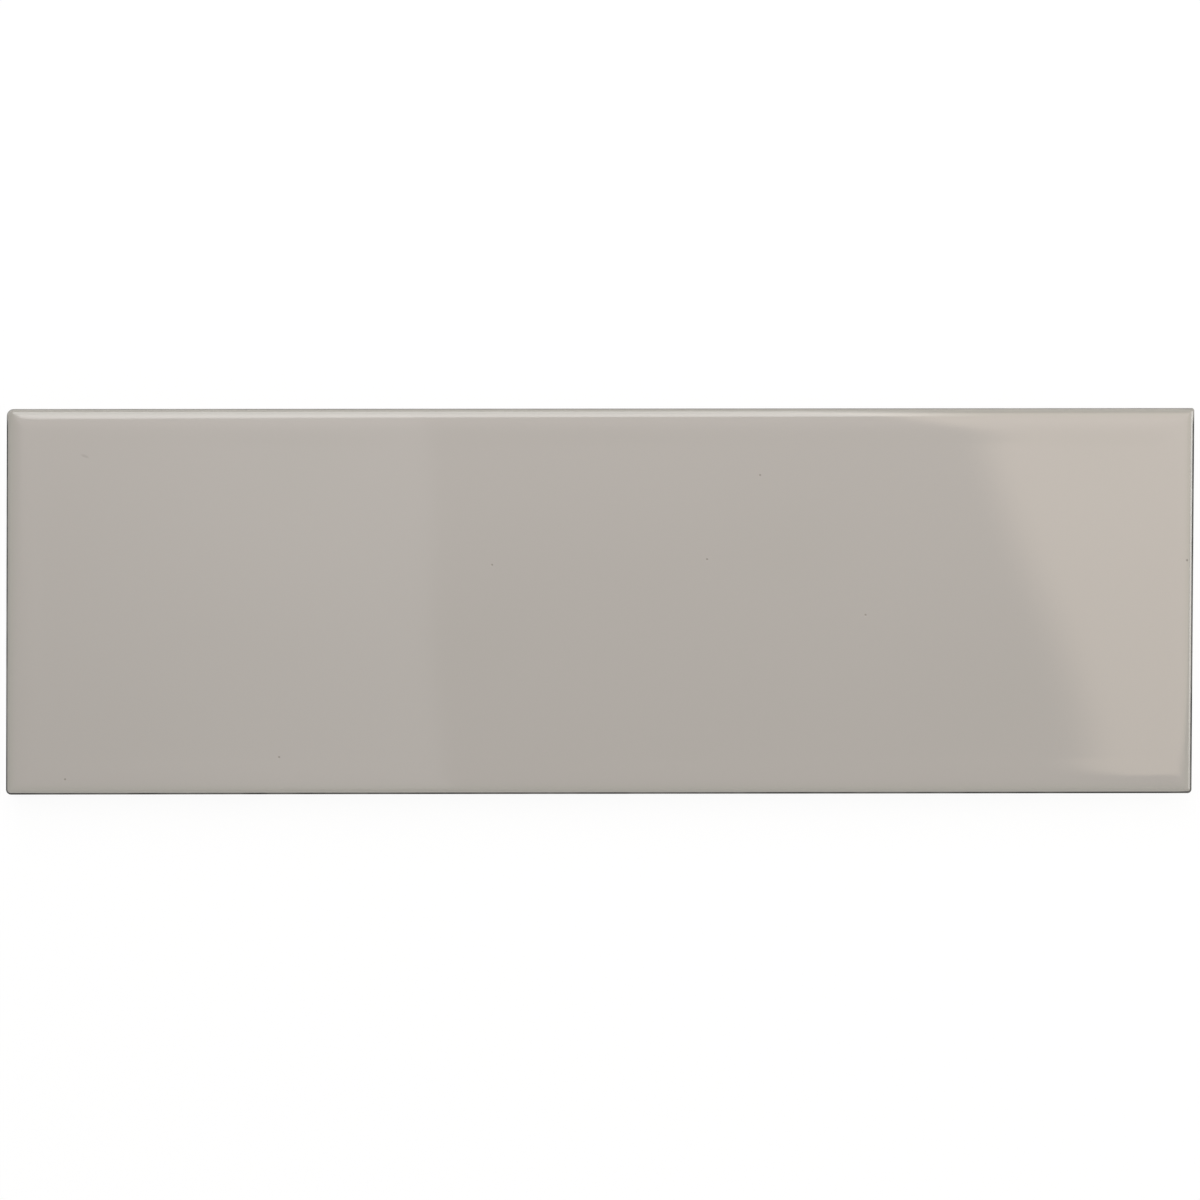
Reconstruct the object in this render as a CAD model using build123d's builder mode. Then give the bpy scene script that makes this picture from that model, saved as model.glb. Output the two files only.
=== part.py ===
"""Glazed ceramic brick tile: one dust-pressed, glazed and fired piece.

Millimetres. The tile lies on its back with the glazed face up: +Z points out of the face, X runs
along the length and Y across the width. The origin is the middle of the back, on the plane of the
key ribs that bed into the adhesive.
"""

import os
from math import asin, degrees

from build123d import *

# Fired size
tile_length = 200.0
tile_width = 65.0
tile_thickness = 7.0

# Cushion edge round the face
corner_radius = 1.2  # rounding of the four corners, seen from above
margin_width = 4.0  # border over which the face falls away towards the edge
margin_radius = 40.0  # gentle arc of that border
lip_radius = 1.1  # tight roll from the border down into the side

# Keyed back
back_bevel = 0.6  # slope left by the lower die, where the side meets the back
rim_width = 5.0  # plain frame between the side and the outer pockets
rib_width = 2.5  # ribs between pockets
pockets_along = 12
pockets_across = 4
pocket_depth = 0.7
pocket_corner_radius = 1.5
pocket_draft = 25.0  # degrees that the pocket walls lean, so that the die lifts clear

# The border arc runs into the lip arc where both slope by this angle, so the edge has no crease
margin_slope = degrees(asin((margin_width - lip_radius) / (margin_radius - lip_radius)))

# The pockets fill the back inside the rim, one rib apart
pocket_pitch_x = (tile_length - 2 * rim_width + rib_width) / pockets_along
pocket_pitch_y = (tile_width - 2 * rim_width + rib_width) / pockets_across


def half_section(span):
    """Half of the section of a tile that is span wide, from its middle to its edge."""
    with BuildSketch() as section:
        with BuildLine():
            flat = Line((0, tile_thickness), (span / 2 - margin_width, tile_thickness))
            margin = JernArc(flat @ 1, flat % 1, margin_radius, -margin_slope)
            lip = JernArc(margin @ 1, margin % 1, lip_radius, margin_slope - 90)
            Polyline(lip @ 1, (span / 2, back_bevel), (span / 2 - back_bevel, 0), (0, 0), flat @ 0)
        make_face()
    return section.sketch


# What rounding takes off a corner: all that lies outside the tile's own edge as that edge turns
# about the corner's axis
with BuildPart() as corner_waste:
    corner_x = tile_length / 2 - corner_radius
    corner_y = tile_width / 2 - corner_radius
    with BuildSketch(Plane((corner_x, corner_y, 0), x_dir=(1, 0, 0), z_dir=(0, -1, 0))):
        Rectangle(2 * corner_radius, tile_thickness, align=Align.MIN)
        with Locations((corner_radius - tile_width / 2, 0)):
            add(half_section(tile_width), mode=Mode.SUBTRACT)
    revolve(axis=Axis((corner_x, corner_y, 0), (0, 0, 1)), revolution_arc=90)
    mirror(about=Plane.YZ)
    mirror(about=Plane.XZ)

with BuildPart() as brick_tile:
    # The section across the width, drawn out along the length
    with BuildSketch(Plane.YZ):
        add(half_section(tile_width))
        mirror(about=Plane.YZ)
    extrude(amount=tile_length / 2, both=True)

    # The same edge along the two ends, so that the borders meet in mitres
    with BuildSketch(Plane.XZ):
        add(half_section(tile_length))
        mirror(about=Plane.YZ)
    extrude(amount=tile_width / 2, both=True, mode=Mode.INTERSECT)

    add(corner_waste.part, mode=Mode.SUBTRACT)

    # Shallow pockets pressed into the back leave the ribs that key into the adhesive
    with BuildSketch():
        with GridLocations(pocket_pitch_x, pocket_pitch_y, pockets_along, pockets_across):
            RectangleRounded(pocket_pitch_x - rib_width, pocket_pitch_y - rib_width, pocket_corner_radius)
    extrude(amount=pocket_depth, taper=pocket_draft, mode=Mode.SUBTRACT)

brick_tile.part.label = "brick_tile"
os.makedirs("parts", exist_ok=True)
export_step(brick_tile.part, "parts/brick_tile.step")
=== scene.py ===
# %% [markdown]
# # A glazed brick tile
# The object is a wall tile of the brick format: one piece of pressed clay, glazed on its face and
# fired. There are no seams, screws or prints to look at, so everything that the eye reads comes from
# three things: the soft roll of the edge, the gloss of the glaze and the way the light falls on it.
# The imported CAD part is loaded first. It stays as it is and gives the sizes, and the mesh that is
# made here stands in its place.

# %% Load the frame
from math import asin, cos, pi, radians, sin, tan

import bpy
import numpy as np
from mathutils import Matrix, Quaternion, Vector


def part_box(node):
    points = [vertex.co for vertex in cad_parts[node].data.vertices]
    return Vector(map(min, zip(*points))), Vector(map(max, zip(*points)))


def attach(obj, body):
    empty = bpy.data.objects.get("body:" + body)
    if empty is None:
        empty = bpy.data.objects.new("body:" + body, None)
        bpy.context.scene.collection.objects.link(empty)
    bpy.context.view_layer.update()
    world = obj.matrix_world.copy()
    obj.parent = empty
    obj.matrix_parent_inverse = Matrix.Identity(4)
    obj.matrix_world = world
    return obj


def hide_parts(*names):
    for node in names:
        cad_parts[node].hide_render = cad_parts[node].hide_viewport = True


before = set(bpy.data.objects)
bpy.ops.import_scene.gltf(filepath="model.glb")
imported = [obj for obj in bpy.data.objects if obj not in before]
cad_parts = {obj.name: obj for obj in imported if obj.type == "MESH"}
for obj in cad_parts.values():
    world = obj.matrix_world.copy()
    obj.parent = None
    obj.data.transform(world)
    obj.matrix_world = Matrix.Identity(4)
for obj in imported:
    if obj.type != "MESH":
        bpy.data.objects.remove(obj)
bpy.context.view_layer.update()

tile_low, tile_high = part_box("brick_tile")
half_length = tile_high.x
half_width = tile_high.y
thickness = tile_high.z
print(f"tile {2000 * half_length:.1f} x {2000 * half_width:.1f} x {1000 * thickness:.1f} mm")

# %% [markdown]
# ## The edge of the face
# A pressed tile has a cushion edge: the flat face first falls away in a long, gentle arc, the
# border, and then rolls over a tight arc, the lip, into the side. A bevel modifier would round the
# edge with a single radius. Here the two arcs are written as a formula, so that the highlight along
# the edge has the same width and the same soft start as on the fired tile.

# %% Sizes of the edge
mm = 0.001
border_width = 4.0 * mm
border_radius = 40.0 * mm
lip_radius = 1.1 * mm

# Both arcs slope by this angle where they meet
border_slope = asin((border_width - lip_radius) / (border_radius - lip_radius))
lip_width = border_width - border_radius * sin(border_slope)
lip_centre_fall = border_radius * (1 - cos(border_slope)) + lip_radius * cos(border_slope)


def fall(inward):
    """How far the face has dropped at a distance inward from the edge."""
    into_border = np.clip(border_width - inward, 0, border_width)
    border = border_radius - np.sqrt(border_radius**2 - into_border**2)
    into_lip = np.clip(lip_radius - inward, 0, lip_radius)
    lip = lip_centre_fall - np.sqrt(lip_radius**2 - into_lip**2)
    return np.where(inward < lip_width, lip, border)


print(f"the lip is {lip_width / mm:.2f} mm wide and ends {lip_centre_fall / mm:.2f} mm below the face")

# %% [markdown]
# ## One lattice for the face and the back
# The face needs fine lines over the edge, and the back needs lines along the walls of the pockets
# that key it into the adhesive. A boolean or a sculpt would leave long thin triangles, which show in
# a gloss finish. So one lattice of lines is worked out that suits both sides: the same lines carry
# the face and the back, and the sides then join them point by point into one closed skin.

# %% Lines over the edge
lip_steps = 12
border_steps = 6
lip_tilts = np.linspace(radians(90), border_slope, lip_steps + 1)
border_tilts = np.linspace(border_slope, 0, border_steps + 1)[1:]
edge_steps = np.concatenate([
    lip_radius * (1 - np.sin(lip_tilts)),
    border_width - border_radius * np.sin(border_tilts),
])
print(f"{len(edge_steps)} lines over each edge")

# %% [markdown]
# ## Lines round the pockets
# The pockets of the back stand in even rows, with a plain rim round them all and ribs between them.
# Each pocket needs lines at the top and foot of its walls, through its round corners and across its
# floor. Their places are worked out for one pocket and repeated at every pocket's middle, so the
# number of pockets can change without drawing anything anew.

# %% Lines of the lattice
rim_width = 5.0 * mm
rib_width = 2.5 * mm
pockets_along = 12
pockets_across = 4
pocket_depth = 0.7 * mm
pocket_draft = radians(25)
pocket_corner = 1.5 * mm
pocket_wall = pocket_depth * tan(pocket_draft)

# A pressed wall has no knife edge: it starts a little before the outline and ends past its foot
wall_ease = 0.12 * mm
wall_lines = 4
wall_steps = np.linspace(-wall_ease, pocket_wall + wall_ease, wall_lines)
inner_corner_line = 0.9 * mm
corner_steps = np.array([inner_corner_line, pocket_corner])
pocket_middle_steps = 5


def pocket_pitch(half, pockets):
    """Distance from one pocket to the next, and from a pocket's middle to its outline."""
    pitch = (2 * (half - rim_width) + rib_width) / pockets
    return pitch, (pitch - rib_width) / 2


def lattice_lines(half, pockets):
    """Lines across one direction of the tile: edges, pockets and the ribs between them."""
    pitch, reach = pocket_pitch(half, pockets)
    middles = (np.arange(pockets) - (pockets - 1) / 2) * pitch
    outer = reach - np.concatenate([wall_steps, corner_steps])
    inner = np.linspace(-outer[-1], outer[-1], pocket_middle_steps)[1:-1]
    offsets = np.concatenate([-outer, inner, outer])
    in_pockets = (middles[:, None] + offsets).ravel()
    ribs = middles[:-1] + pitch / 2
    return np.sort(np.concatenate([edge_steps - half, in_pockets, ribs, half - edge_steps]))


lines_x = lattice_lines(half_length, pockets_along)
lines_y = lattice_lines(half_width, pockets_across)
print(f"lattice of {len(lines_x)} x {len(lines_y)} lines")

# %% [markdown]
# ## Rounded corners without a modifier
# The four corners of the tile and the corners of the pockets are round, but the lattice is square.
# A square corner becomes a quarter disc if each square ring round its centre is bent into an arc of
# the same reach. The rings keep their distance from the edge, so the edge formula still holds all
# the way round the corner. The dies wear unevenly, so each corner has its own radius.

# %% Bend square corners into arcs
far_left_radius = 1.2 * mm
far_right_radius = 0.5 * mm
near_left_radius = 0.9 * mm
near_right_radius = 0.7 * mm


def turn_corner(out_x, out_y):
    """Moves points of a square corner, given from the centre of its arc, on to arcs."""
    far = np.maximum(out_x, out_y)
    near = np.minimum(out_x, out_y)
    turn = radians(45) * near / far
    long_leg = far * np.cos(turn)
    short_leg = far * np.sin(turn)
    along_x = out_x >= out_y
    return np.where(along_x, long_leg, short_leg), np.where(along_x, short_leg, long_leg)


def pull_in(lines, half, inset):
    """Moves the lines over the edge inward, until the outermost lies inset from the edge."""
    inward = half - np.abs(lines)
    pulled = np.where(inward < border_width, inset + inward * (1 - inset / border_width), inward)
    return np.sign(lines) * (half - pulled)


def lattice(inset):
    """The points of the lattice, with its outline inset from the tile's, and their way in."""
    pulled_x = pull_in(lines_x, half_length, inset)
    pulled_y = pull_in(lines_y, half_width, inset)
    x, y = np.meshgrid(pulled_x, pulled_y, indexing="ij")
    inward = np.minimum(half_length - np.abs(x), half_width - np.abs(y))
    far_radius = np.where(x < 0, far_left_radius, far_right_radius)
    near_radius = np.where(x < 0, near_left_radius, near_right_radius)
    radius = np.where(y > 0, far_radius, near_radius)
    out_x = np.abs(x) - half_length + radius
    out_y = np.abs(y) - half_width + radius
    corner = (out_x > 0) & (out_y > 0)
    turned_x, turned_y = turn_corner(out_x[corner], out_y[corner])
    x[corner] += np.sign(x[corner]) * (turned_x - out_x[corner])
    y[corner] += np.sign(y[corner]) * (turned_y - out_y[corner])
    return x, y, inward


face_x, face_y, face_inward = lattice(0)
print(f"{face_x.size} points on the face")

# %% [markdown]
# ## The glazed face
# Glaze melts in the kiln and levels itself, but not perfectly: the face keeps swells that are far
# too low to feel and still bend every reflection a little. Bump would fake them in the shading
# alone, so they are real heights here, a few waves that cross at odd angles and die out towards the
# border, where the edge is drawn by the die.

# %% Face of the tile
# Length of each swell along x and y, its height and its start
swells = [
    (71 * mm, 58 * mm, 0.010 * mm, 0.6),
    (-47 * mm, 83 * mm, 0.007 * mm, 2.1),
    (112 * mm, -39 * mm, 0.008 * mm, 4.4),
    (33 * mm, 61 * mm, 0.003 * mm, 5.2),
]

swell = np.zeros_like(face_x)
for length_x, length_y, height, start in swells:
    swell += height * np.sin(2 * pi * (face_x / length_x + face_y / length_y) + start)
swell_top = sum(height for _, _, height, _ in swells)
swell_share = np.clip((face_inward - border_width / 2) / border_width, 0, 1) ** 2
face_z = thickness - fall(face_inward) + (swell - swell_top) * swell_share
swell_range = face_z.max() - face_z[swell_share == 1].min()
print(f"the face swells by up to {1e6 * swell_range:.0f} micrometres")

# %% [markdown]
# ## The keyed back
# The back is bare clay. The lower die leaves rows of shallow pockets with leaning walls, and the
# ribs between them hold the tile in its adhesive. The same bending of corners makes the pockets
# round, and it fades out across the ribs, so that neighbouring pockets share straight lines.

# %% Back of the tile
back_bevel = 0.6 * mm


def pocket_place(lines, half, pockets):
    """Each line's distance from the middle of its nearest pocket, and that middle."""
    pitch, _ = pocket_pitch(half, pockets)
    number = np.round(lines / pitch + (pockets - 1) / 2)
    middle = (np.clip(number, 0, pockets - 1) - (pockets - 1) / 2) * pitch
    return lines - middle, middle


def press_pockets(x, y):
    """Rounds the pockets of the back and gives their depth at each point."""
    _, reach_x = pocket_pitch(half_length, pockets_along)
    _, reach_y = pocket_pitch(half_width, pockets_across)
    from_x, middle_x = pocket_place(x, half_length, pockets_along)
    from_y, middle_y = pocket_place(y, half_width, pockets_across)
    into = np.minimum(reach_x - np.abs(from_x), reach_y - np.abs(from_y))
    share = np.clip((into + wall_ease) / (pocket_wall + 2 * wall_ease), 0, 1)
    out_x = np.abs(from_x) - (reach_x - pocket_corner)
    out_y = np.abs(from_y) - (reach_y - pocket_corner)
    corner = (out_x > 0) & (out_y > 0)
    square_x = out_x[corner]
    square_y = out_y[corner]
    turned_x, turned_y = turn_corner(square_x, square_y)
    over_rib = np.maximum(square_x, square_y) - pocket_corner
    square = np.clip(over_rib / (rib_width / 2), 0, 1)
    moved_x = reach_x - pocket_corner + turned_x + (square_x - turned_x) * square
    moved_y = reach_y - pocket_corner + turned_y + (square_y - turned_y) * square
    x[corner] = middle_x[corner] + np.sign(from_x[corner]) * moved_x
    y[corner] = middle_y[corner] + np.sign(from_y[corner]) * moved_y
    return pocket_depth * share**2 * (3 - 2 * share)


back_x, back_y, _ = lattice(back_bevel)
back_z = press_pockets(back_x, back_y)
print(f"{pockets_along * pockets_across} pockets, {back_z.max() / mm:.2f} mm deep")

# %% [markdown]
# ## The sides and the glaze line
# Glaze is poured or sprayed on from above. It runs over the lip and a little way down the sides, and
# stops there in an uneven line with a slight bead. Below it the clay is bare. A colour mask could
# paint that line, but the bead catches light from the side, so the rings of the side follow it: the
# glaze stands a tenth of a millimetre proud of the clay under it.

# %% Glaze line round the tile
glaze_line_height = 3.6 * mm

# Number of runs round the tile, how far they reach and where they start
glaze_runs = [(5, 0.45 * mm, 0.3), (13, 0.30 * mm, 2.2), (29, 0.22 * mm, 4.0), (67, 0.12 * mm, 1.1)]


def rim_of(grid):
    """The outermost points of a lattice, anticlockwise as seen from the face."""
    return np.concatenate([grid[:-1, 0], grid[-1, :-1], grid[:0:-1, -1], grid[0, :0:-1]])


def ring(inset, height):
    """One turn of points round the sides, inset from the outline, at a height."""
    x, y, _ = lattice(inset)
    points_x = rim_of(x)
    return np.stack([points_x, rim_of(y), np.broadcast_to(height, points_x.shape)], axis=1)


outline = ring(0, 0)
stretches = np.linalg.norm(np.roll(outline, -1, axis=0) - outline, axis=1)
way_round = np.concatenate([[0], np.cumsum(stretches)[:-1]]) / stretches.sum()
glaze_line = np.full(len(way_round), glaze_line_height)
for runs, reach, start in glaze_runs:
    glaze_line += reach * np.sin(2 * pi * runs * way_round + start)
print(f"the glaze line lies {glaze_line.min() / mm:.2f} to {glaze_line.max() / mm:.2f} mm above the back")

# %% [markdown]
# ## Rings of the sides
# From the lip down, a side is glaze, then the rounded bead of the glaze line, then clay, and last
# the bevel of the back. An extrusion would give straight bands. A ring of points at each of these
# heights lets the bead follow the glaze line up and down.

# %% Rings from the lip to the back
glaze_thickness = 0.12 * mm
glaze_bead = 0.25 * mm
bead_round = 0.3

lip_foot = thickness - lip_centre_fall
side_rings = [
    ring(0, (lip_foot + glaze_line) / 2),
    ring(0, glaze_line + glaze_bead),
    ring(glaze_thickness * bead_round, glaze_line + glaze_bead * bead_round),
    ring(glaze_thickness, glaze_line),
    ring(glaze_thickness, glaze_line - glaze_bead),
    ring(glaze_thickness, glaze_line / 2),
    ring(glaze_thickness, back_bevel - glaze_thickness),
]
glazed_rings = 4
print(f"{len(side_rings)} rings of {len(outline)} points, {glazed_rings} of them glazed")

# %% [markdown]
# ## Sewing the skin
# The face, the rings and the back all have the same points round their rim, so each ring is joined
# to the next with one band of quads. Clay shrinks in the kiln and never comes out dead square, so
# the far edge is shifted a hair to the right of the near one. Moving the finished points is the
# simplest way to do that, because every ring then leans alike.

# %% Points of the skin
out_of_square = 0.19 * mm
points = np.concatenate([
    np.stack([face_x, face_y, face_z], axis=2).reshape(-1, 3),
    np.concatenate(side_rings),
    np.stack([back_x, back_y, back_z], axis=2).reshape(-1, 3),
])
points[:, 0] += out_of_square * points[:, 1] / half_width
print(f"{len(points)} points")

# %% [markdown]
# ## Quads of the skin
# Every point has a number, counted through the face, the rings and the back. A quad is four of these
# numbers, in an order that runs anticlockwise when it is seen from outside, which tells Blender
# where outside is. If the skin is closed, each side of a quad is used by just two quads.

# %% Quads of the skin
columns = len(lines_x)
rows = len(lines_y)
rim_points = len(outline)
face_numbers = np.arange(columns * rows).reshape(columns, rows)
ring_numbers = face_numbers.size + np.arange(len(side_rings) * rim_points).reshape(-1, rim_points)
back_numbers = face_numbers + face_numbers.size + ring_numbers.size


def cells(numbers):
    """The quads of a lattice, wound anticlockwise as seen from the face."""
    corners = [numbers[:-1, :-1], numbers[1:, :-1], numbers[1:, 1:], numbers[:-1, 1:]]
    return np.stack([corner.ravel() for corner in corners], axis=1)


def band(upper, lower):
    """The quads between two rings, wound so that they face outward."""
    return np.stack([lower, np.roll(lower, -1), np.roll(upper, -1), upper], axis=1)


levels = [rim_of(face_numbers), *ring_numbers, rim_of(back_numbers)]
bands = [band(upper, lower) for upper, lower in zip(levels, levels[1:])]
glazed_quads = np.concatenate([cells(face_numbers), *bands[:glazed_rings]])
bare_quads = np.concatenate([*bands[glazed_rings:], cells(back_numbers)[:, ::-1]])
quads = np.concatenate([glazed_quads, bare_quads])

quad_sides = np.stack([quads, np.roll(quads, -1, axis=1)], axis=2).reshape(-1, 2)
_, uses = np.unique(np.sort(quad_sides, axis=1), axis=0, return_counts=True)
print(f"{len(quads)} quads, {np.count_nonzero(uses != 2)} open edges")

# %% [markdown]
# ## The tile as an object
# On the real tile glaze and clay are fired into one piece, so they are one mesh with two material
# slots. Two objects would leave a gap or an overlap at the glaze line. The skin is shaded smooth, and
# only steps that are steeper than the crease angle stay sharp. The tile rides on the frame's root
# and takes the place of the CAD part in the picture.

# %% Mesh object
crease_angle = radians(38)
skin = bpy.data.meshes.new("glazed_brick_tile")
skin.from_pydata(points.tolist(), [], quads.tolist())
slot_numbers = np.repeat([0, 1], [len(glazed_quads), len(bare_quads)])
skin.polygons.foreach_set("material_index", slot_numbers)
skin.shade_smooth()
skin.set_sharp_from_angle(angle=crease_angle)
tile = bpy.data.objects.new("glazed_brick_tile", skin)
bpy.context.scene.collection.objects.link(tile)
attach(tile, "root")
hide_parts("brick_tile")
print(f"{tile.name}: {len(glazed_quads)} glazed and {len(bare_quads)} bare quads")

# %% [markdown]
# ## Sums in a material
# Materials are made of nodes, and their maths is hard to follow as a list of links. This small
# class wraps one socket, so that a sum on it can be written like any other: each operator adds a
# Math node. Every other kind of node comes from its one method, which sets the node up first and
# then fills its sockets.

# %% A socket that can be used in sums
class Wire:
    """A socket in a node tree. Sums on it add Math nodes, and node() adds any other node."""

    def __init__(self, tree, socket=None):
        self.tree = tree
        self.socket = socket

    def node(self, kind, settings, sockets, output=0):
        """Adds a node, applies its settings, fills its sockets and gives one of its outputs."""
        made = self.tree.nodes.new(kind)
        for name, value in settings.items():
            setattr(made, name, value)
        for name, value in sockets.items():
            if isinstance(value, Wire):
                self.tree.links.new(value.socket, made.inputs[name])
            else:
                made.inputs[name].default_value = value
        return Wire(self.tree, made.outputs[output])

    def __getitem__(self, output):
        """Another output of the node that this socket belongs to."""
        return Wire(self.tree, self.socket.node.outputs[output])

    def math(self, operation, first, second):
        """One Math node on two values."""
        return self.node("ShaderNodeMath", {"operation": operation}, {0: first, 1: second})

    def __add__(self, other):
        return self.math("ADD", self, other)

    def __radd__(self, other):
        return self.math("ADD", other, self)

    def __sub__(self, other):
        return self.math("SUBTRACT", self, other)

    def __rsub__(self, other):
        return self.math("SUBTRACT", other, self)

    def __mul__(self, other):
        return self.math("MULTIPLY", self, other)

    def __rmul__(self, other):
        return self.math("MULTIPLY", other, self)

    def ramp(self, start, end):
        """0 where the value is at start, 1 where it is at end, and eased in between."""
        eased = {"interpolation_type": "SMOOTHSTEP"}
        return self.node("ShaderNodeMapRange", eased, {"Value": self, "From Min": start, "From Max": end})

    def tint(self, without, with_it):
        """A colour that goes from one to another as the value goes from 0 to 1."""
        return self.node("ShaderNodeMix", {"data_type": "RGBA"}, {0: self, 6: without, 7: with_it}, 2)


print("sums on a Wire add Math nodes, ramp() adds a Map Range and tint() a Mix")

# %% [markdown]
# ## Helpers for a finish
# Both finishes of the tile start the same way: a new material, its shader, and the place of each
# point in the tile's own coordinates, so that nothing slides when the tile is moved. Soft noise is
# needed at many sizes. An image texture would show its pixels close up, and noise doesn't.

# %% Start, noise and feed
def new_finish(name):
    """A material on the tile, with its start in the tile's own coordinates and its shader."""
    finish = bpy.data.materials.new(name)
    finish.use_nodes = True
    shader = finish.node_tree.nodes["Principled BSDF"]
    place = Wire(finish.node_tree).node("ShaderNodeTexCoord", {}, {}, "Object")
    tile.data.materials.append(finish)
    return place, shader


def height_of(place):
    """The height of each point above the back. Its other outputs are X and Y."""
    return place.node("ShaderNodeSeparateXYZ", {}, {"Vector": place}, "Z")


def noise(place, size, detail):
    """Soft blotches of about the given size, from 0 to 1."""
    return place.node("ShaderNodeTexNoise", {}, {"Vector": place, "Scale": 1 / size, "Detail": detail})


def feed(shader, sockets):
    """Links what varies over the surface to the shader, and sets what doesn't."""
    for name, value in sockets.items():
        if isinstance(value, Wire):
            value.tree.links.new(value.socket, shader.inputs[name])
        else:
            shader.inputs[name].default_value = value


place, shader = new_finish("warm_grey_glaze")
print(f"slot {len(tile.data.materials) - 1} holds {tile.data.materials[-1].name}")

# %% [markdown]
# ## The coat of glaze
# The glaze is a warm grey glass, opaque and glossy. Its colour drifts a little from place to place,
# because the coat is never quite even. Over the lip it turns a touch greener where it thins, and
# darker, which is painted shade for the light that falls off as the lip rolls away. Down the sides it
# is thin and streaky. A plain grey would look like plastic. So the colour is worked out from soft
# noise and from how far below the face each point lies.

# %% Colour of the coat
glaze_light = (0.363, 0.344, 0.321, 1)
glaze_dark = (0.357, 0.338, 0.315, 1)
lip_tint_and_shade = (0.340, 0.328, 0.299, 1)
glaze_streak = (0.285, 0.270, 0.243, 1)

# Depths below the face where each change begins and where it is complete
lip_tint_and_shade_depths = (0.03 * mm, 0.13 * mm)
side_thins = (1.0 * mm, 2.6 * mm)
streak_range = (0.42, 0.72)


def below_face(height, depths):
    """0 down to the first depth below the face, and 1 from the second depth on."""
    begins, complete = depths
    return height.ramp(thickness - begins, thickness - complete)


height = height_of(place)
drift = noise(place, size=30 * mm, detail=3.0)
over_lip = below_face(height, lip_tint_and_shade_depths)
down_side = below_face(height, side_thins)
streaks = down_side * noise(place, size=1.8 * mm, detail=3.0).ramp(*streak_range)
# Over the lip the colour is the thin glaze's greener tint and painted shade, darker as the lip rolls away
lip_tinted_and_shaded = over_lip.tint(drift.tint(glaze_dark, glaze_light), lip_tint_and_shade)
streaked = streaks.tint(lip_tinted_and_shaded, glaze_streak)
print(f"the coat thins {lip_tint_and_shade_depths[0] / mm:.2f} mm below the face, streaks from {side_thins[0] / mm:.1f} mm")

# %% [markdown]
# ## Painted shade at the arris
# At the arris, where the lip turns into the side, a thin dark line is painted into the glaze's colour:
# painted shade and painted dark reflection of the steep roll of the edge. It runs all round the tile,
# a little patchy, weaker along the far edge, which faces the back softbox, and wider along the right
# end. A curve laid round the edge would stand off the glaze. A band between two depths, as part of the
# glaze's colour, follows the roll of the edge by itself.

# %% Painted shade line at the arris
# Colour of the painted shade at the arris
painted_edge_shade = (0.020, 0.019, 0.018, 1)
arris_starts = (0.34 * mm, 0.48 * mm)
arris_ends = (0.80 * mm, 1.05 * mm)
arris_patchiness = 0.18
patch_range = (0.35, 0.6)

# Where the far edge and the right end begin, and how the line differs there
far_zone = (0.9 * half_width, 0.99 * half_width)
right_zone = (0.97 * half_length, 0.995 * half_length)
far_drop = 0.14 * mm
right_rise = 0.08 * mm
far_loss = 0.5

far_edge = height["Y"].ramp(*far_zone)
right_edge = height["X"].ramp(*right_zone)
arris = below_face(height + (far_drop * far_edge - right_rise * right_edge), arris_starts)
below_arris = below_face(height, arris_ends)
patchy = noise(place, size=7 * mm, detail=4.0).ramp(*patch_range)
dark_share = (1 - far_loss * far_edge) * (1 - arris_patchiness + arris_patchiness * patchy)
# The line is painted shade: it darkens the glaze's colour there, and the same band is made matt
edge_shade_mask = arris * (1 - below_arris) * dark_share
coat = edge_shade_mask.tint(streaked, painted_edge_shade)
print(f"dark line from {arris_starts[0] / mm:.2f} to {arris_ends[1] / mm:.2f} mm below the face")

# %% [markdown]
# ## Pinholes
# A few pinholes are left where gas came out of the clay in the kiln. Modelled ones would need a very
# fine mesh. A Voronoi texture gives one random point to each cell of a grid, and each cell also gets
# a lot, a random number, that says whether its point is a pinhole.

# %% Pinholes in the coat
pinhole_colour = (0.20, 0.18, 0.16, 1)
pinhole_spacing = 9 * mm
pinhole_radius = 0.22 * mm
pinhole_floor = 0.4
pinhole_share = 0.04

nearest = place.node(
    "ShaderNodeTexVoronoi",
    {"voronoi_dimensions": "2D"},
    {"Vector": place, "Scale": 1 / pinhole_spacing},
    "Distance",
)
hole_reach = pinhole_radius / pinhole_spacing
lot = place.node("ShaderNodeSeparateColor", {}, {"Color": nearest["Color"]}, "Red")
drawn = lot.math("GREATER_THAN", lot, 1 - pinhole_share)
pinhole = nearest.ramp(hole_reach, pinhole_floor * hole_reach) * drawn
print(f"about one pinhole in {1 / pinhole_share:.0f} cells, {2 * pinhole_radius / mm:.2f} mm wide")

# %% [markdown]
# ## A faint scuff
# Near the far left corner the glaze has one short, faint scuff. It has no depth to speak of, so it
# needs no mesh. A Mapping node moves, turns and stretches the coordinates until the scuff is a disc
# of radius 1 round their origin, and the distance from there is its mask.

# %% Scuff on the face
scuff_colour = (0.312, 0.297, 0.276, 1)
scuff_place = (-86.5 * mm, 24.5 * mm, thickness)
scuff_reach = (0.95 * mm, 0.32 * mm, 1.0)
scuff_turn = (0, 0, radians(-22))
scuff_range = (1.0, 0.3)

from_middle = place.node(
    "ShaderNodeMapping",
    {"vector_type": "TEXTURE"},
    {"Vector": place, "Location": scuff_place, "Rotation": scuff_turn, "Scale": scuff_reach},
)
distance = place.node("ShaderNodeVectorMath", {"operation": "LENGTH"}, {0: from_middle}, "Value")
scuff = distance.ramp(*scuff_range)
print(f"scuff {2 * scuff_reach[0] / mm:.1f} x {2 * scuff_reach[1] / mm:.1f} mm")

# %% [markdown]
# ## The gloss of the glaze
# Fired glaze is glass, nearly as smooth as a mirror, with a very faint orange peel. The flaws and the
# band of painted shade at the arris are duller. A coat layer over a clay colour would also give gloss,
# but then two layers mirror the lamps. One layer with a low roughness and the refraction of glaze is
# enough, and bump gives the peel and the hollows of the pinholes.

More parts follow.
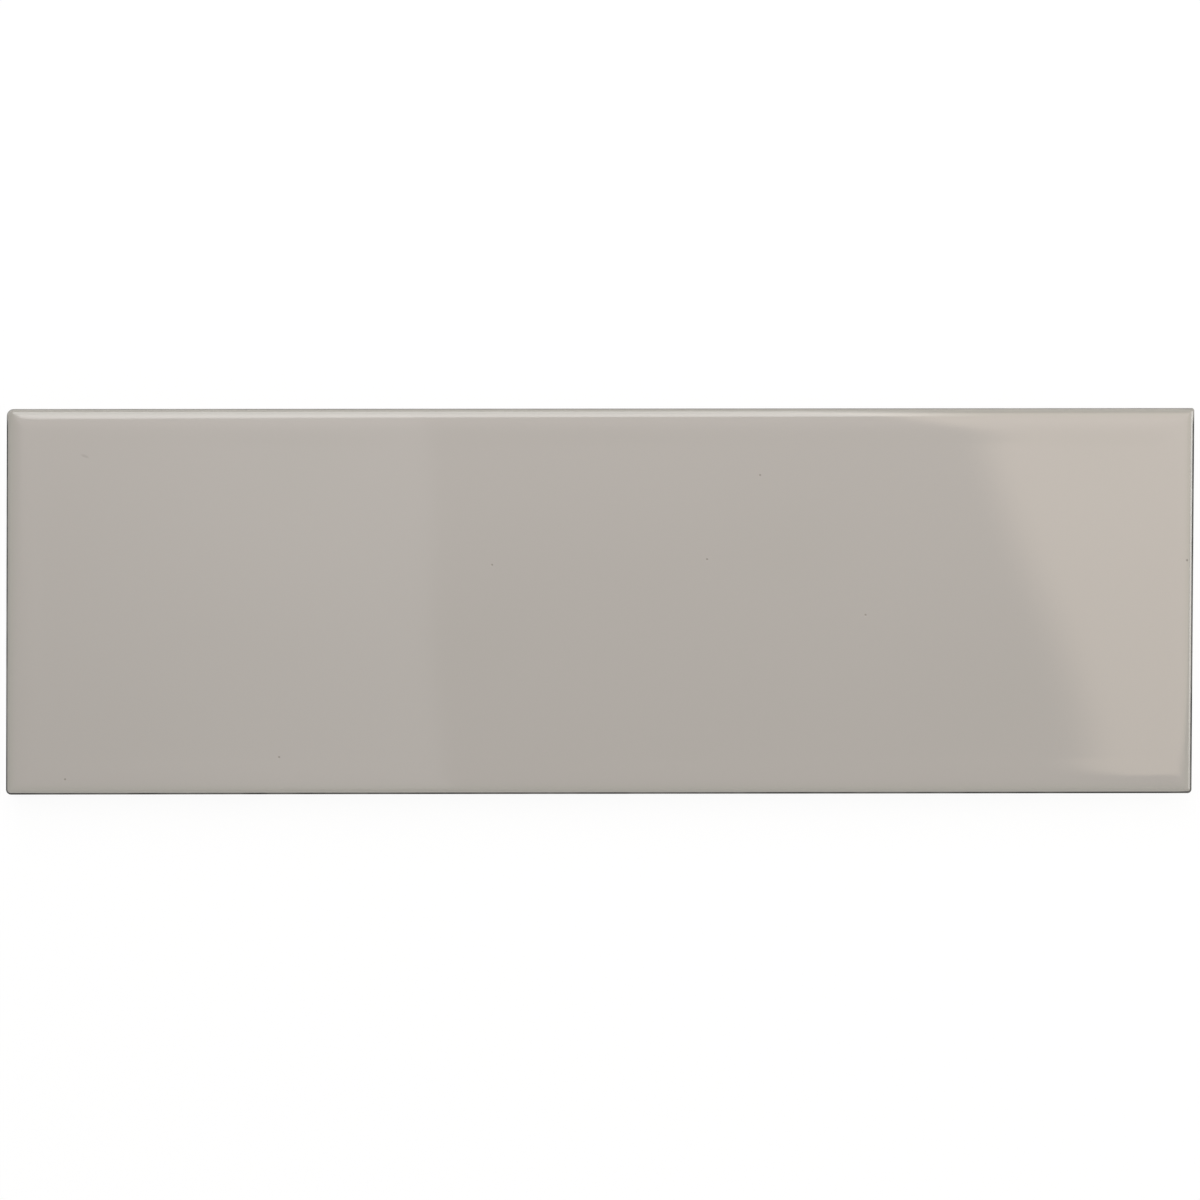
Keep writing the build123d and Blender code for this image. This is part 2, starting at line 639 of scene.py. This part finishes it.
# %% Glaze finish
glaze_refraction = 1.62
glaze_roughness = 0.035
drift_roughness = 0.02
pinhole_roughness = 0.3
arris_roughness = 0.9
side_roughness = 0.1
scuff_roughness = 0.1

# Heights of the bump, in millimetres
peel_height = 0.0006
pinhole_depth = 0.03

peel = noise(place, size=2.5 * mm, detail=2.0)
relief = peel * peel_height - pinhole * pinhole_depth
even_part = glaze_roughness + drift_roughness * drift + side_roughness * down_side
flaw_part = pinhole_roughness * pinhole + arris_roughness * edge_shade_mask + scuff_roughness * scuff
feed(shader, {
    "Base Color": pinhole.tint(scuff.tint(coat, scuff_colour), pinhole_colour),
    "Roughness": even_part + flaw_part,
    "IOR": glaze_refraction,
    "Normal": relief.node("ShaderNodeBump", {}, {"Height": relief, "Distance": mm}),
})
print(f"glaze: roughness from {glaze_roughness}, refraction {glaze_refraction}")

# %% [markdown]
# ## The bare clay
# The body under the glaze is a pale buff clay, fired hard: matt, grainy and a little uneven. Glaze
# mist greys it just below the glaze line, and the ribs that stood on the kiln rollers carry a dusting
# of white release powder. Painting them by hand would tie them to one mesh. Both depend on height, so
# ramps on the height place them here, and noise breaks them up.

# %% Bare clay colour
clay_light = (0.45, 0.410, 0.355, 1)
clay_dark = (0.365, 0.325, 0.278, 1)
glaze_mist = (0.36, 0.335, 0.300, 1)
release_powder = (0.62, 0.60, 0.57, 1)
blotch_share = 0.6
grain_share = 0.4
clay_range = (0.3, 0.7)
mist_zone = (glaze_line_height - 2.2 * mm, glaze_line_height + 0.4 * mm)
powder_zone = (0.25 * mm, 0.0)
powder_range = (0.35, 0.75)

place, shader = new_finish("bare_clay")
height = height_of(place)
blotch = noise(place, size=14 * mm, detail=4.0)
grain = noise(place, size=0.5 * mm, detail=3.0)
clay = (blotch_share * blotch + grain_share * grain).ramp(*clay_range).tint(clay_dark, clay_light)
misted = height.ramp(*mist_zone) * noise(place, size=1.2 * mm, detail=4.0)
powdered = height.ramp(*powder_zone) * noise(place, size=5 * mm, detail=6.0).ramp(*powder_range)
print(f"slot {len(tile.data.materials) - 1} holds {tile.data.materials[-1].name}")

# %% [markdown]
# ## The matt of the clay
# Unglazed clay scatters light, because its grains stand up from it. Displaced geometry would need
# millions of triangles for that. A high roughness that varies with the grain, and the same grain as
# bump, read the same at any distance from which a tile is looked at.

# %% Bare clay finish
clay_roughness = 0.8
grain_roughness = 0.15

# Height of the bump, in millimetres
grain_height = 0.05

relief = grain * grain_height
feed(shader, {
    "Base Color": powdered.tint(misted.tint(clay, glaze_mist), release_powder),
    "Roughness": clay_roughness + grain_roughness * grain,
    "Normal": relief.node("ShaderNodeBump", {}, {"Height": relief, "Distance": mm}),
})
print(f"clay: roughness from {clay_roughness}, grain {grain_height} mm high")

# %% [markdown]
# ## The camera
# The tile is seen from straight above, with its length across the picture, as flat goods are shown
# in a catalogue. A flat projection would keep the edges just as straight, but a long lens a little
# under half a metre up also shows how reflections move across the face. The very small tilts are
# those of a camera set up by hand.

# %% Camera above the tile
lens_length = 85
sensor_width = 36
camera_place = (-1.64 * mm, 6.47 * mm, 483.45 * mm)
camera_tilts = (radians(-0.748), radians(-0.196), radians(-0.059))

camera_data = bpy.data.cameras.new("camera")
camera_data.lens = lens_length
camera_data.sensor_width = sensor_width
camera = bpy.data.objects.new("camera", camera_data)
camera.location = camera_place
camera.rotation_euler = camera_tilts
bpy.context.scene.collection.objects.link(camera)
bpy.context.scene.camera = camera
bpy.context.scene.view_settings.view_transform = "Standard"
print(f"camera {camera.location.z:.3f} m up, {camera_data.lens:.0f} mm lens")

# %% [markdown]
# ## A softbox
# A studio softbox is a lit cloth panel that is brightest in the middle. Point lamps would leave small
# hard spots on the gloss, and glowing planes render with more noise. An area lamp is a panel by
# itself, and a mask over it, from the lamp's own coordinates, fades its rims. The energy is worked out
# from the size, so that a panel looks just as bright when its size is changed.

# %% Lamp helper
thin_fades = (0.03, 0.03, 0.03, 0.03)


def softbox(name, centre, aim, width, height, glow, colour, turn=0.0, fades=thin_fades):
    """An area lamp as bright as glow. Fades are shares of its left, right, low and high side."""
    lamp_data = bpy.data.lights.new(name, "AREA")
    lamp_data.shape = "RECTANGLE"
    lamp_data.size = width
    lamp_data.size_y = height
    lamp_data.color = colour
    lamp_data.energy = pi * width * height * glow
    lamp_data.use_nodes = True
    emission = lamp_data.node_tree.nodes["Emission"]
    spot = Wire(lamp_data.node_tree).node("ShaderNodeNewGeometry", {}, {}, "Parametric")
    across = spot.node("ShaderNodeSeparateXYZ", {}, {"Vector": spot}, "X")
    up = across["Y"]
    left, right, low, high = fades
    shine_across = across.ramp(0, left) * (1 - across).ramp(0, right)
    shine_up = up.ramp(0, low) * (1 - up).ramp(0, high)
    feed(emission, {"Strength": shine_across * shine_up})
    lamp = bpy.data.objects.new(name, lamp_data)
    lamp.location = centre
    facing = (Vector(aim) - Vector(centre)).to_track_quat("-Z", "Y")
    lamp.rotation_euler = (facing @ Quaternion((0, 0, 1), radians(turn))).to_euler()
    bpy.context.scene.collection.objects.link(lamp)
    print(f"{name}: {width:.2f} x {height:.2f} m, glow {glow}")


neutral = (1.0, 1.0, 1.0)
softbox(
    "back_softbox", centre=(-0.076, 0.478, 0.592), aim=(-0.076, -0.082, 0.092), width=0.50, height=0.874,
    glow=3.25, colour=neutral, turn=4.0, fades=(0.18, 0.05, 0.30, 0.019),
)

# %% [markdown]
# ## Hanging the lamps
# On a flat, glossy face the camera sees the lamps themselves, mirrored, so each lamp is placed for
# its reflection. The back softbox of the last cell draws the bright line along the far edge and gives
# most of the light. It ends well above the floor, so that the face keeps its colour in low views. A
# warm one overhead, turned a little, lies across the right end of the face, and a faint panel lies
# over the left. A rosy one brightens the far half softly. Strips low on the right and in front light
# the lip and the sides. The panels overhead hang at different heights where they cross, because
# lamps in one plane would hide each other in the reflection.

# %% The other lamps
warm = (1.0, 0.84, 0.68)
rosy = (1.0, 0.90, 0.87)
softbox(
    "warm_softbox", centre=(0.513, 0.315, 0.90), aim=(0.513, 0.315, 0), width=0.80, height=0.725,
    glow=1.4, colour=warm, turn=18.1, fades=(0.038, 0.05, 0.043, 0.05),
)
softbox(
    "right_strip", centre=(0.72, 0.0, 0.26), aim=(0.1, 0, 0.26), width=0.40, height=0.52,
    glow=3.6, colour=neutral, fades=(0.55, 0.03, 0.03, 0.03),
)
softbox(
    "faint_softbox", centre=(-0.200, 0.0, 0.90), aim=(-0.200, 0, 0), width=0.25, height=0.60,
    glow=0.34, colour=neutral, turn=2.1, fades=(0.95, 0.02, 0.05, 0.05),
)
softbox(
    "front_strip", centre=(0.0, -0.90, 0.25), aim=(0, 0, 0.25), width=1.20, height=0.50,
    glow=0.6, colour=neutral,
)
softbox(
    "ceiling_glow", centre=(0.045, 0.10, 0.95), aim=(0.045, 0.10, 0), width=0.85, height=0.42,
    glow=1.03, colour=rosy, fades=(0.05, 0.05, 0.85, 0.05),
)

# %% [markdown]
# ## The floor
# The tile lies on a plain white ground. A white world alone would leave it hanging in the air, so it
# gets a floor, which takes its soft shadow. The floor reaches so far that its end isn't seen in low
# views, and it lies a hair below the tile, so that the two surfaces don't flicker.

# %% White floor
floor_reach = 12.0
floor_drop = 0.02 * mm
floor_colour = (0.93, 0.93, 0.93, 1)

signs = [(-1, -1), (1, -1), (1, 1), (-1, 1)]
floor_corners = [(x * floor_reach, y * floor_reach, -floor_drop) for x, y in signs]
floor_mesh = bpy.data.meshes.new("floor")
floor_mesh.from_pydata(floor_corners, [], [(0, 1, 2, 3)])
floor = bpy.data.objects.new("floor", floor_mesh)
bpy.context.scene.collection.objects.link(floor)
floor_finish = bpy.data.materials.new("white_floor")
floor_finish.use_nodes = True
floor_shader = floor_finish.node_tree.nodes["Principled BSDF"]
feed(floor_shader, {"Base Color": floor_colour, "Roughness": 1.0, "Specular IOR Level": 0.0})
floor_mesh.materials.append(floor_finish)
print(f"floor {2 * floor_reach:.0f} m wide")

# %% [markdown]
# ## White for the eye alone
# More lamps would burn out the glaze before they made the floor pure white. So part of the floor's
# white is its own glow, which the camera and the gloss see and which sheds no light on the tile. A
# Light Path node tells the two apart.

# %% Glow of the floor
floor_white = 0.92
white = (1, 1, 1, 1)


def seen_directly(tree):
    """1 for what the camera, the gloss or a glass sees, and 0 for the light that a surface sheds."""
    rays = Wire(tree).node("ShaderNodeLightPath", {}, {}, "Is Camera Ray")
    mirrored = rays.math("MAXIMUM", rays["Is Glossy Ray"], rays["Is Transmission Ray"])
    return rays.math("MAXIMUM", rays, mirrored)


floor_tree = floor_finish.node_tree
lit = Wire(floor_tree, floor_shader.outputs["BSDF"])
glowing = lit.node("ShaderNodeEmission", {}, {"Color": white, "Strength": 1.0})
glow_share = floor_white * seen_directly(floor_tree)
ground = lit.node("ShaderNodeMixShader", {}, {0: glow_share, 1: lit, 2: glowing})
feed(floor_tree.nodes["Material Output"], {"Surface": ground})
print(f"{100 * floor_white:.0f} % of the floor's white is its own glow")

# %% [markdown]
# ## The room
# Round a studio table are pale walls, which fill the shadows a little and keep the gloss from
# mirroring black. Walls of their own would get in the camera's way in some views. An even, pale world
# does the same from every side.

# %% Room light
room_light = 0.52

world = bpy.data.worlds.new("white_room")
world.use_nodes = True
feed(world.node_tree.nodes["Background"], {"Color": white, "Strength": room_light})
bpy.context.scene.world = world
print(f"room light {room_light}")
